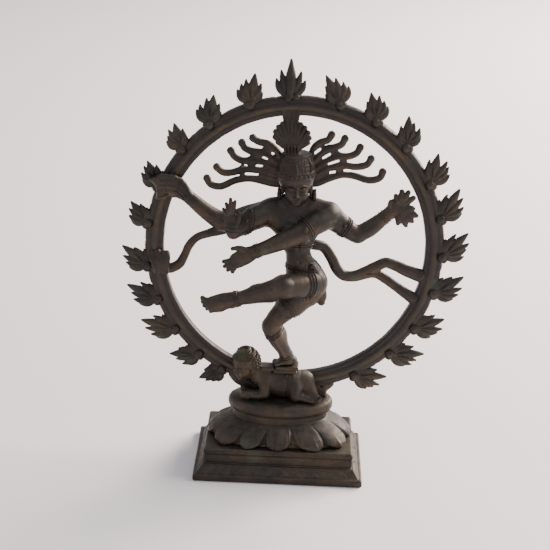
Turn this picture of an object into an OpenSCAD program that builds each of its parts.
/* [Plinth] */
// Width of the bottom slab, side to side
slab_w = 115; // [110:1:125]
// Depth of the bottom slab, front to back
slab_d = 71; // [66:1:80]
// Height of the slab's upright edge
slab_h = 5.2; // [4:0.2:7]
// How far the upright block stands in from the slab's edge
block_inset = 7.2; // [6:0.2:9]
// Height of the block's top above the floor
block_top = 21.5; // [20:0.5:23]
// Distance of the base's middle from the ring's middle
base_x = -5.7; // [-8:0.1:0]
// Wall thickness of the hollow plinth
wall = 3.5; // [2.5:0.5:5]

/* [Lotus] */
// Width of the oval seat
seat_w = 72; // [68:1:76]
// Depth of the oval seat
seat_d = 43; // [40:1:46]
// Height of the seat's top above the floor
seat_top = 50.5; // [49:0.5:51]
// Thickness of the seat's rounded rim
seat_h = 9.5; // [8.5:0.5:10]
// Height of the plain collar under the seat
collar_h = 5; // [4:0.5:6]
// Number of petals round the tier
petals = 12; // [8:1:16]

/* [Flame ring] */
// Height of the ring's middle above the floor
ring_z = 157.4; // [156:0.2:159]
// Distance of the ring's middle to the right of the origin
ring_x = -0.7; // [-1.5:0.1:0.5]
// Half of the ring's inner width
ring_in_x = 86.4; // [85.4:0.2:87.4]
// Half of the ring's inner height
ring_in_z = 90; // [89:0.2:91]
// Width of the ring's band, seen from the front
ring_band = 12.4; // [11.4:0.2:13]
// Thickness of the ring, front to back
ring_t = 9; // [7:0.5:10]
// Distance of the ring's middle plane behind the origin
ring_y = 3; // [2:0.5:4]
// Turn of the ring's long axis from upright, towards its right
ring_lean = 4; // [0:0.5:6]
// Length of a flame at the ring's side, from its root to its tip
flame_len = 21.5; // [20:0.5:23]
// Height of the bud on top of the ring
bud_h = 26; // [22:0.5:28]

/* [Fixing stud] */
// Diameter of the stud under the seat
stud_d = 6; // [5:0.5:6]
// Width of the nut across its flats
nut_af = 10; // [9:0.5:12]

/* [Hidden] */
bronze = "#3d3630";
dusty = "#5d544d";
steel = "#77736c";

FLAMES = 10;
function pad2(n) = n < 10 ? str("0", n) : str(n);
LEFT_NAMES = [for (k = [1:FLAMES]) str("flame_left_", pad2(k))];
RIGHT_NAMES = [for (k = [1:FLAMES]) str("flame_right_", pad2(k))];

// Each flame is set by hand, so the steps between them wander a little.
// For each: the angle of its root from straight up, where its long lobe points, and its share of the length.
left_flames = [[19, -6, 0.93], [36, -5, 0.9], [50, 19, 0.79], [67, 21, 0.85], [82, 37, 0.84], [99, 51, 0.95],
    [113, 65, 1], [127, 75, 1.08], [141, 94, 0.88], [152, 115, 0.74]];
right_flames = [[15, -26, 0.94], [30, -12, 0.9], [45, 0, 0.91], [62, 13, 1], [76, 27, 1.05], [91, 42, 1.05],
    [106, 59, 1.04], [122, 71, 1], [136, 86, 1.06], [153, 92, 1]];
bud_root = -4;

// ---------- curves and tubes ----------

function cubic(a, b, c, d, t) =
    0.5 * (2 * b + (c - a) * t + (2 * a - 5 * b + 4 * c - d) * t * t + (3 * b - a - 3 * c + d) * t * t * t);

// Points on one smooth curve through the given points, with some steps between each pair.
function smooth(p, steps) = let (last = len(p) - 1) concat(
    [for (i = [0:last - 1], s = [0:steps - 1])
        cubic(p[max(i - 1, 0)], p[i], p[i + 1], p[min(i + 2, last)], s / steps)],
    [p[last]]);

function unit(v) = v / norm(v);
function along(p, i) = unit(p[min(i + 1, len(p) - 1)] - p[max(i - 1, 0)]);

// One ring of points across a tube: half[0] lies in the picture plane, half[1] lies front to back.
function across(at, way, half, sides) =
    let (flat = unit(cross(way, [0, 1, 0])), deep = cross(flat, way))
    [for (k = [0:sides - 1])
        at + flat * half[0] * cos(360 * k / sides) + deep * half[1] * sin(360 * k / sides)];

// A closed skin over rings of equal length, first ring to last.
module skin(rings) {
    sides = len(rings[0]);
    last = len(rings) - 1;
    points = [for (ring = rings, point = ring) point];
    walls = [for (i = [0:last - 1], k = [0:sides - 1], half = [0, 1])
        let (a = i * sides + k, b = i * sides + (k + 1) % sides)
        half == 0 ? [a, b, b + sides] : [a, b + sides, a + sides]];
    caps = [[for (k = [sides - 1:-1:0]) k], [for (k = [0:sides - 1]) last * sides + k]];
    polyhedron(points, concat(walls, caps), convexity = 6);
}

// A limb with rounded ends: points on its middle line, and its two half widths at each of them.
module limb(path, halves, sides = 10, steps = 2) {
    p = smooth(path, steps);
    h = smooth(halves, steps);
    last = len(p) - 1;
    round_end = 0.6;
    first_way = along(p, 0);
    last_way = along(p, last);
    skin(concat(
        [across(p[0] - first_way * h[0][0] * round_end, first_way, h[0] * 0.45, sides)],
        [for (i = [0:last]) across(p[i], along(p, i), h[i], sides)],
        [across(p[last] + last_way * h[last][0] * round_end, last_way, h[last] * 0.45, sides)]));
}

// A limb whose half widths are the same in both directions: given as one number at each point.
module round_limb(path, halves, sides = 8, steps = 2) {
    limb(path, [for (h = halves) [h, h]], sides, steps);
}

// A band round a limb, such as a bracelet.
module band(at, way, half, length, sides = 12) {
    w = unit(way);
    steps = [[-0.5, 0.9], [-0.3, 1], [0.3, 1], [0.5, 0.9]];
    skin([for (s = steps) across(at + w * length * s[0], w, half * s[1], sides)]);
}

// An egg shape with three half widths.
module egg(at, half, sides = 14, rows = 9) {
    skin([for (i = [0:rows])
        let (a = -84 + 168 * i / rows)
        [for (k = [0:sides - 1])
            at + [half[0] * cos(a) * cos(360 * k / sides), half[1] * cos(a) * sin(360 * k / sides),
                half[2] * sin(a)]]]);
}

// Fingers that fan out from a palm.
module fingers(root, tips, half) {
    for (tip = tips)
        round_limb([root + (tip - root) * 0.35, root + (tip - root) * 0.7, tip],
            [half, half, half * 0.75], 6, 1);
}

// ---------- plinth and lotus ----------

// Outline of a stepped block, seen from one side: each step is [inset from the edge, height].
function stepped_outline(size, steps) = concat(
    [for (s = steps) [size / 2 - s[0], s[1]]],
    [for (i = [len(steps) - 1:-1:0]) [steps[i][0] - size / 2, steps[i][1]]]);

// A stepped block with mitred corners.
module stepped_block(w, d, steps) intersection() {
    rotate([90, 0, 0]) linear_extrude(d + 2, center = true) polygon(stepped_outline(w, steps));
    rotate([90, 0, 90]) linear_extrude(w + 2, center = true) polygon(stepped_outline(d, steps));
}

block_foot = slab_h + 5.4;
groove_z = block_foot + 5.4;
roof = block_top - wall;
neck_z = seat_top - seat_h;
neck_w = 65;
neck_d = 37;

module plinth() color(dusty) translate([base_x, 0, 0]) difference() {
    stepped_block(slab_w, slab_d, [
        [0, 0], [0, slab_h - 0.6], [0.6, slab_h], [1.4, slab_h], [block_inset - 0.6, block_foot],
        [block_inset, block_foot], [block_inset, groove_z], [block_inset + 0.8, groove_z + 0.2],
        [block_inset + 0.8, groove_z + 0.9], [block_inset + 0.1, groove_z + 1.1],
        [block_inset + 0.1, block_top - 0.6], [block_inset + 0.7, block_top]]);
    stepped_block(slab_w, slab_d, [
        [wall, -1], [wall, 3], [block_inset + wall, block_foot - 1], [block_inset + wall, roof]]);
    cylinder(h = block_top + 1, d = stud_d + 0.6, $fn = 32);
}

// Half width of a rounded rectangle in one direction; a higher power gives squarer corners.
function rounded(half_w, half_d, power, a) =
    pow(pow(abs(cos(a)) / half_w, power) + pow(abs(sin(a)) / half_d, power), -1 / power);

petal_turn = 4;
function lotus_ring(t, bulge, z) =
    let (spans = 72)
    [for (k = [0:spans - 1])
        let (a = 360 * k / spans,
            petal = abs(cos((a + petal_turn) * petals / 2)),
            low = rounded(slab_w / 2 - block_inset - 2, slab_d / 2 - block_inset - 1.5, 4, a),
            high = rounded(neck_w / 2, neck_d / 2, 2, a),
            r = low + (high - low) * t + bulge * sqrt(petal))
        [r * cos(a), r * sin(a), z]];

module lotus_tier() color(dusty) translate([base_x, 0, 0]) difference() {
    slope = neck_z - collar_h - block_top;
    skin(concat(
        [for (s = [[0.14, 0, 0], [0.03, 0.8, 0.07], [0.08, 1.5, 0.22], [0.24, 2, 0.45], [0.5, 1.4, 0.7],
            [0.8, 0.6, 0.9], [0.97, 0, 1]])
            lotus_ring(s[0], s[1], block_top + slope * s[2])],
        [lotus_ring(1, 0, neck_z - collar_h + 0.6), lotus_ring(1, 0, neck_z)]));
    translate([0, 0, block_top - 1]) cylinder(h = neck_z, d = stud_d + 0.6, $fn = 32);
}

function seat_oval(inset, z) = [for (k = [0:47])
    [(seat_w / 2 - inset) * cos(k * 7.5), (seat_d / 2 - inset) * sin(k * 7.5), z]];

// Section of the seat's rim: [inset from its widest line, share of its height].
seat_rim = [[3.4, 0], [1.8, 0.06], [0.6, 0.2], [0, 0.42], [0.3, 0.62], [1.2, 0.8], [2.8, 0.93], [5, 0.99],
    [8, 1]];
module lotus_seat() color(dusty) translate([base_x, 0, neck_z])
    skin([for (s = seat_rim) seat_oval(s[0], s[1] * seat_h)]);

// ---------- fixing under the seat ----------

nut_h = 4.5;
washer_h = 1.2;
module tie_stud() color(steel) translate([base_x, 0, 0]) {
    translate([0, 0, roof - washer_h - nut_h - 2]) cylinder(h = neck_z - roof + washer_h + nut_h + 2,
        d = stud_d, $fn = 32);
}

module stud_washer() color(steel) translate([base_x, 0, roof - washer_h]) difference() {
    cylinder(h = washer_h, d = nut_af + 6, $fn = 48);
    translate([0, 0, -1]) cylinder(h = washer_h + 2, d = stud_d + 0.2, $fn = 32);
}

module stud_nut() color(steel) translate([base_x, 0, roof - washer_h - nut_h]) difference() {
    cylinder(h = nut_h, d = nut_af / cos(30), $fn = 6);
    translate([0, 0, -1]) cylinder(h = nut_h + 2, d = stud_d, $fn = 32);
}

// ---------- flame ring ----------

// A point in the ring's own plane: angle from its top, and distance outside its inner edge.
function ring_point(a, out) =
    let (x = (ring_in_x + out) * sin(a), z = (ring_in_z + out) * cos(a))
    [ring_x + x * cos(ring_lean) + z * sin(ring_lean), ring_y,
        ring_z + z * cos(ring_lean) - x * sin(ring_lean)];

// Section of the ring: distance outside the inner edge, and distance in front of the middle plane.
function ring_section() = let (f = ring_t / 2, w = ring_band) [
    [0, 0.5 * f], [0.6, 0.9 * f], [2, 0.9 * f], [3, f], [0.5 * w, 1.05 * f], [0.72 * w, 0.8 * f],
    [0.78 * w, 0.6 * f], [w, 0.55 * f], [w, -0.55 * f], [0.7 * w, -0.9 * f], [0.3 * w, -0.9 * f],
    [0, -0.5 * f]];

module flame_ring() color(bronze) {
    spans = 72;
    section = ring_section();
    sides = len(section);
    points = [for (i = [0:spans - 1], s = section) ring_point(360 * i / spans, s[0]) - [0, s[1], 0]];
    faces = [for (i = [0:spans - 1], k = [0:sides - 1], half = [0, 1])
        let (a = i * sides + k, b = i * sides + (k + 1) % sides,
            c = ((i + 1) % spans) * sides + (k + 1) % sides, d = ((i + 1) % spans) * sides + k)
        half == 0 ? [a, b, c] : [a, c, d]];
    polyhedron(points, faces, convexity = 10);
}

module ring_foot() color(bronze) translate([0, ring_y + 3.5, 0]) rotate([90, 0, 0]) linear_extrude(7)
    polygon([[-32, seat_top - 0.5], [25, seat_top - 0.5], [28, 57], [27, 62], [16, 61], [0, 58], [-20, 60],
        [-32, 66], [-41, 67], [-42.5, 61.5], [-36, 57]]);

// One pointed lobe of a flame, drawn upwards from the root.
module lobe(length, half, turn) {
    rotate(-turn) polygon([[-half * 0.4, 0], [-half, length * 0.28], [-half * 0.9, length * 0.45],
        [-half * 0.35, length * 0.8], [0, length], [half * 0.35, length * 0.8], [half * 0.9, length * 0.45],
        [half, length * 0.28], [half * 0.4, 0]]);
}

// A palmette of a long lobe and shorter ones on each side. Its root lies on the ring's outer half.
root_out = 1.6;
// Distance of the flames' middle plane in front of the ring's
flame_front = 2.4;
module flame(spot, side) {
    thick = 4.4;
    size = flame_len * spot[2];
    at = ring_point(spot[0] * side - ring_lean, ring_band - root_out) - [0, flame_front, 0];
    color(bronze) translate(at + [0, thick / 2, 0]) rotate([0, spot[1] * side, 0]) rotate([90, 0, 0])
        linear_extrude(thick) union() {
            lobe(size, 3.2, 0);
            lobe(size * 0.76, 2.8, 18 * side);
            lobe(size * 0.62, 2.6, 45 * side);
            lobe(size * 0.7, 2.6, -17 * side);
            lobe(size * 0.52, 2.4, -36 * side);
            polygon([[-2.5, -2], [-5, 2], [-6.2, 7], [-3, 11], [3, 11], [6.2, 7], [5, 2], [2.5, -2]]);
        }
}

module flame_top() {
    thick = 5;
    at = ring_point(bud_root - ring_lean, ring_band - root_out) - [0, flame_front, 0];
    color(bronze) translate(at + [0, thick / 2, 0]) rotate([90, 0, 0])
        linear_extrude(thick) union() {
            lobe(bud_h, 4.2, 0);
            lobe(bud_h * 0.76, 3, 16);
            lobe(bud_h * 0.76, 3, -16);
            lobe(bud_h * 0.52, 3, 38);
            lobe(bud_h * 0.52, 3, -38);
        }
}

// ---------- dwarf ----------

module dwarf_body() color(dusty)
    limb([[-24, -6, 71], [-19, -5.4, 66.5], [-12, -5, 63.5], [-3, -4.5, 61.5], [5, -4.5, 61.5], [11, -4, 61]],
        [[5, 4.6], [7.4, 5.2], [9.2, 5.8], [10.3, 6], [10, 5.8], [6, 5]], 14);

module dwarf_head() color(dusty) egg([-30, -7, 77.3], [8, 8.4, 9.2]);

module dwarf_arms() color(dusty) {
    round_limb([[-15.5, -7, 68], [-16, -9, 62], [-16.5, -9.6, 56], [-21.5, -9.6, 54.4], [-27.5, -9.4, 54.8]],
        [4, 4.2, 4, 3.6, 4]);
    round_limb([[-20, -1, 66], [-22, 2, 59], [-25, 3, 54], [-31, 2, 54]], [4, 3.6, 3.2, 3]);
}

module dwarf_legs() color(dusty) {
    round_limb([[3, -6, 65], [4, -8.6, 60], [4, -9, 55], [8.5, -9.6, 54], [13, -10.4, 53.2]],
        [5, 5, 4.2, 3.4, 2.8]);
    round_limb([[9, -2, 64], [13.5, -4, 59], [15.5, -8, 55], [18, -12, 52.8]], [5, 4.4, 3.6, 2.6]);
}

module foot_slab() color(bronze) translate([-11, -10.4, 71.2]) linear_extrude(4.8)
    polygon([[1, 0], [15.6, 0], [16.6, 1], [16.6, 10.6], [15.6, 11.6], [1, 11.6], [0, 10.6], [0, 1]]);

// ---------- dancer's body ----------

module torso() color(bronze) union() {
    limb([[4.5, -6, 148], [1.5, -7, 157], [0.5, -8, 168], [0.5, -8, 180], [0.5, -7, 187]],
        [[10, 7.5], [8.3, 6.5], [12.5, 8.5], [18, 9], [13, 7]], 14);
    round_limb([[0.3, -7, 186], [0, -8, 195]], [6.5, 5.5], 10, 1);
    limb([[-17, -6, 183], [-8, -6, 185], [12, -6, 185], [21, -6, 184]],
        [[8.5, 7], [9, 8], [9, 8], [8.5, 7]], 10, 1);
}

module hips() color(bronze)
    limb([[4, -6, 149], [7, -6, 142], [10, -6, 135], [10, -6, 127]],
        [[9.5, 8], [12.5, 10], [12.5, 10], [8, 8]], 14);

module standing_leg() color(bronze) union() {
    limb([[8.5, -6, 134], [-0.5, -8, 122.5], [-9.5, -11, 113.5], [-14.4, -12.5, 107]],
        [[9.5, 9], [8.5, 8.5], [6.6, 7], [5.8, 6.2]], 12);
    limb([[-14.4, -12.3, 105.5], [-10.5, -10, 97.5], [-4.5, -7, 88], [-1.5, -5, 80]],
        [[5.4, 5.8], [5.7, 6], [4.8, 5], [4.1, 4.5]], 12);
}

module standing_foot() color(bronze)
    limb([[2.6, -4.8, 78.8], [-3, -5.2, 78.4], [-9.6, -5.6, 77.4]], [[3.4, 3.8], [3, 4.2], [1.6, 4.2]], 10);

module raised_leg() color(bronze) {
    limb([[13, -8, 137.5], [4, -16, 139], [-7, -23, 139.8], [-16, -22.5, 136], [-25, -21, 132.5],
        [-34, -19, 128.6], [-40, -18, 127]],
        [[9, 8], [8.6, 8.5], [7.6, 8], [6.9, 7], [6, 6.2], [4.8, 5], [4.6, 4.6]], 12);
    limb([[-37, -18, 128], [-44, -18, 126], [-51, -18, 124], [-56, -18, 123]],
        [[4.5, 4.5], [6.2, 5], [5.6, 5], [4, 4.6]], 10);
    for (toe = [[-59.8, 126.2], [-58, 123.6], [-56.2, 121.2], [-54.2, 119], [-52, 117.6]])
        round_limb([[-53, -18, 122.5], [toe[0], -18, toe[1]]], [2.2, 1.5], 6, 1);
}

module head() color(bronze) egg([-0.5, -8.5, 203], [9.6, 10.4, 12]);

module cap() color(bronze) skin([for (s = [[11.6, 10.8, 209.5], [12.4, 11.6, 210.5], [12.4, 11.6, 213.5],
    [11.4, 10.8, 214.2], [9.4, 9.4, 218.5], [7.2, 7.6, 222.5], [6.6, 7, 224.5]])
    [for (k = [0:17]) [-1.5 + s[0] * cos(20 * k), -6.5 + s[1] * sin(20 * k), s[2]]]]);

module crest_fan() color(bronze) translate([-5, 2, 0]) rotate([90, 0, 0]) linear_extrude(6) union() {
    polygon([[-5.5, 223.5], [6, 223.5], [6.5, 227], [11, 231], [12.5, 235], [11, 239.5], [7, 243.5],
        [4.5, 245], [4.5, 250], [-7, 250], [-7, 244], [-12, 238], [-12.5, 233], [-8, 229], [-5, 227]]);
}

// Five locks fan out from the head, joined near their roots.
hair_half = 2.7;
module hair_lock(points) round_limb(points, [for (i = [0:len(points) - 1]) hair_half], 8, 3);

module hair_left() color(bronze) union() {
    hair_lock([[-6, -1, 206], [-19, 0, 206], [-32, 0, 206.5], [-43, 0, 203], [-52, 0, 200.5],
        [-58, 0, 204.5]]);
    hair_lock([[-6, -1, 209], [-20, 0, 211], [-34, 0, 210.5], [-42, 0, 208.5], [-50, 0, 209], [-52, 0, 212]]);
    hair_lock([[-6, -1, 212], [-18, 0, 215], [-30, 0, 215.5], [-40, 0, 217], [-43, 0, 222]]);
    hair_lock([[-6, -1, 215], [-16, 0, 219], [-26, 0, 222], [-34, 0, 224], [-36, 0, 228]]);
    hair_lock([[-6, -1, 218], [-13, 0, 223.5], [-20, 0, 227], [-27, 0, 229], [-28.5, 0, 231.5]]);
    translate([0, 2, 0]) rotate([90, 0, 0]) linear_extrude(3) polygon([[-8, 205], [-22, 205], [-20, 209],
        [-27, 211], [-24, 216], [-22, 220], [-13, 224], [-8, 220]]);
}

module hair_right() color(bronze) union() {
    hair_lock([[6, -1, 205], [17, 0, 207.5], [30, 0, 210], [41, 0, 209.5], [50, 0, 208.5], [54, 0, 212.5]]);
    hair_lock([[6, -1, 208], [17, 0, 212.5], [29, 0, 216], [38, 0, 216], [45, 0, 218], [47, 0, 222]]);
    hair_lock([[6, -1, 211], [16, 0, 217], [26, 0, 221.5], [34, 0, 223.5], [39, 0, 228]]);
    hair_lock([[6, -1, 214], [13, 0, 221.5], [20, 0, 226.5], [26, 0, 229], [29.5, 0, 233.5]]);
    hair_lock([[6, -1, 217], [11, 0, 225], [16, 0, 231], [20, 0, 235.5]]);
    translate([0, 2, 0]) rotate([90, 0, 0]) linear_extrude(3) polygon([[8, 204], [17, 206], [16, 211],
        [24, 216], [20, 224], [15, 229], [10, 224]]);
}

// ---------- arms ----------

module drum_arm() color(bronze) union() {
    limb([[-16, -4, 185], [-29, -3, 180.5], [-43, -1, 175], [-52, 0, 175.2], [-61, 0, 180.8], [-71, 0, 189.6],
        [-79, -1, 197.5]],
        [[8, 6.5], [7.5, 6], [7, 6], [6.5, 5.5], [5.2, 5], [4.6, 4.6], [4.4, 4.4]], 10);
    limb([[-79, -2, 197.5], [-84, -4, 199.5], [-88, -5, 198]], [[4.6, 4], [6.4, 4.4], [6, 4]], 10);
}

module palm_arm() color(bronze) union() {
    limb([[-17, -8, 185], [-27, -12, 181.5], [-35, -15.5, 177.5], [-39.5, -19, 176]],
        [[8, 7], [7.6, 7], [6.6, 6], [5, 5]], 10);
    limb([[-40.5, -19.5, 174], [-41.3, -20, 180], [-41.8, -20, 187]], [[4.2, 4], [5.4, 3], [5, 2.4]], 8, 2);
    fingers([-41, -20, 182], [[-46.2, -20, 190], [-44.6, -20, 193.8], [-42.2, -20, 196.8],
        [-39.4, -20, 195]], 1.5);
    round_limb([[-38, -20, 180], [-36.8, -21, 187]], [2, 1.4], 6, 1);
}

module crossing_arm() color(bronze) union() {
    limb([[20, -9, 184], [12, -14, 180], [4, -19, 175.4], [-8, -21, 170.2], [-18, -22, 165.6],
        [-26, -22, 162.5]],
        [[8.5, 7.5], [8, 7.5], [6.8, 6.6], [5.8, 5.8], [5, 5], [4.4, 4.2]], 10);
    limb([[-25, -22, 162.8], [-31, -22.5, 160.5], [-38, -23, 156.5]], [[4.4, 4], [6, 3.4], [6.4, 2.8]], 10);
    fingers([-36, -23, 157], [[-45, -23, 155.2], [-44.4, -23, 152.4], [-42.3, -23, 150.2],
        [-39.4, -23, 149.2]], 1.6);
    round_limb([[-31, -23, 163], [-35.5, -23, 165.3], [-40, -23, 164.2]], [2.2, 1.9, 1.5], 6, 1);
}

module flame_arm() color(bronze) union() {
    limb([[20, -5, 183.6], [30, -3, 175.2], [40, -2, 168.4], [48, -1, 172.4], [57, -1, 181], [62, -1, 186.4]],
        [[8.5, 7], [7, 6.4], [5.8, 5.8], [5.6, 5.4], [4.9, 4.8], [4.8, 4]], 10);
    limb([[61, -1, 185.5], [66, -2, 189], [70, -2, 190]], [[5.5, 3.8], [7.6, 3.4], [6, 2.6]], 10);
    fingers([65, -2, 190], [[64, -2, 199], [67.8, -2, 202], [72, -2, 201], [76, -2, 197]], 1.7);
}

module hand_flame() color(bronze) translate([65, -3, 186]) rotate([0, 96, 0]) rotate([90, 0, 0])
    linear_extrude(4.4, center = true) union() {
        lobe(11.6, 2.6, -34);
        lobe(13.8, 2.8, -2);
        lobe(11.6, 2.4, 17);
        lobe(12.6, 2.6, 40);
        polygon([[-4, -4], [-5, 3], [-4.4, 7], [5.5, 7], [7, 2], [5, -4]]);
    }

// A small hourglass drum held against the ring.
module hand_drum() color(bronze) translate([-89.5, -3.5, 198]) rotate([0, -20, 0]) rotate_extrude($fn = 32)
    polygon([[0, -7.5], [4.6, -7.5], [5, -6.6], [4.6, -5.8], [2.2, 0], [4.6, 5.8], [5, 6.6], [4.6, 7.5],
        [0, 7.5]]);

// ---------- dress ----------

module scarf_left() color(bronze) union() {
    limb([[-42, 1, 171], [-50, 1, 168.5], [-58, 1, 165.8], [-65.4, 1, 163], [-70.6, 1, 157.4],
        [-73.6, 1, 150.4], [-76.4, 1, 143.8], [-82, 0, 140.5], [-87, -1, 141]],
        [[4.4, 3.4], [4, 3.2], [2.8, 3], [2.6, 3], [2.8, 3], [2.8, 3], [3.2, 3], [3.4, 3], [3.6, 3]], 8);
    translate([-90.5, -1, 145]) rotate([90, 0, 0]) linear_extrude(3.4) polygon([[-7, 8], [-6.6, -6],
        [-4, -8.5], [6, -8.5], [6.6, -2], [6.2, 7], [4, 9], [1.5, 7.8], [-1, 9], [-4, 7.6]]);
}

module scarf_right() color(bronze) union() {
    limb([[4, -4, 164], [12, -3, 162.5], [19, 0, 160], [24, 0, 153], [28, 0, 145.6], [33, 0, 141.2],
        [40, 0, 140.8], [47, 0, 143.8], [54, 0, 148.3], [60, 0, 151.6], [67, 0, 149.6], [74, 0, 146.6],
        [83, 1, 143.2]],
        [[4, 3.4], [3.6, 3.2], [3.6, 3], [3.6, 3], [3.6, 3], [3.6, 3], [3.7, 3], [4, 3], [3.8, 3], [3.5, 3],
            [3.7, 3], [4, 3], [4.4, 3]], 8);
    limb([[48, 0, 141.5], [54, 0, 142.5], [61, 0, 139], [67.5, 0, 134.6], [73.5, 0, 130.4], [80, 1, 126]],
        [[2.6, 2.6], [3, 2.8], [3.2, 3], [3.3, 3], [3.6, 3], [4, 3]], 8);
}

module waist_tassel() color(bronze)
    limb([[12, -13, 151], [16, -11, 143], [18.5, -8, 135], [19.5, -6, 128], [18.5, -6, 123]],
        [[2, 2], [2.4, 2.4], [2.6, 2.6], [2.8, 2.6], [2, 2]], 8);

module short_hems() color(bronze) {
    band([7, -13.5, 139.6], [-9, -8, 1], [9.6, 9.4], 3);
    band([-3.5, -9.2, 119.4], [-9, -3, -9], [8.6, 8.6], 3);
}

module necklace() color(bronze) {
    limb([[-9, -14, 190], [-5, -16.5, 184.5], [0.5, -17.5, 181.5], [6, -16.5, 184.5], [10, -14, 190]],
        [[1.4, 1.2], [1.5, 1.3], [1.6, 1.4], [1.5, 1.3], [1.4, 1.2]], 6);
}

module earrings() color(bronze) {
    egg([10.6, -7, 198], [3, 3, 4.6], 10, 6);
    egg([-11, -7, 198], [2.8, 3, 4.4], 10, 6);
}

module armlets() color(bronze) {
    band([32, -3, 175], [10, 1, -6.5], [7.2, 6.8], 3);
    band([7, -17, 177.2], [9, 5, 5], [7.9, 7.6], 3.4);
    band([-31, -13.7, 177.8], [8, 3.6, 4], [7.7, 7.2], 3);
    band([-24.5, -22, 163], [8, 0.4, 3], [5, 4.8], 3);
    band([-40.6, -19.4, 175.6], [0, 0, 1], [5, 4.8], 3);
}

module anklets() color(bronze) {
    band([-12.5, -11, 101.5], [4, 2.4, -9.4], [6.5, 7], 2);
    band([-2.4, -5.6, 83], [3, 2, -8], [5, 5.4], 2.4);
    band([-36.5, -18.6, 128.2], [-9, 1.4, -3], [5.5, 5.6], 2.4);
}

plinth();
lotus_tier();
lotus_seat();
tie_stud();
stud_washer();
stud_nut();
flame_ring();
ring_foot();
flame_top();
dwarf_body();
dwarf_head();
dwarf_arms();
dwarf_legs();
foot_slab();
torso();
hips();
standing_leg();
standing_foot();
raised_leg();
head();
cap();
crest_fan();
hair_left();
hair_right();
drum_arm();
palm_arm();
crossing_arm();
flame_arm();
hand_drum();
hand_flame();
scarf_left();
scarf_right();
waist_tassel();
short_hems();
necklace();
earrings();
armlets();
anklets();
for (k = [0:FLAMES - 1]) {
    flame(left_flames[k], -1);
    flame(right_flames[k], 1);
}
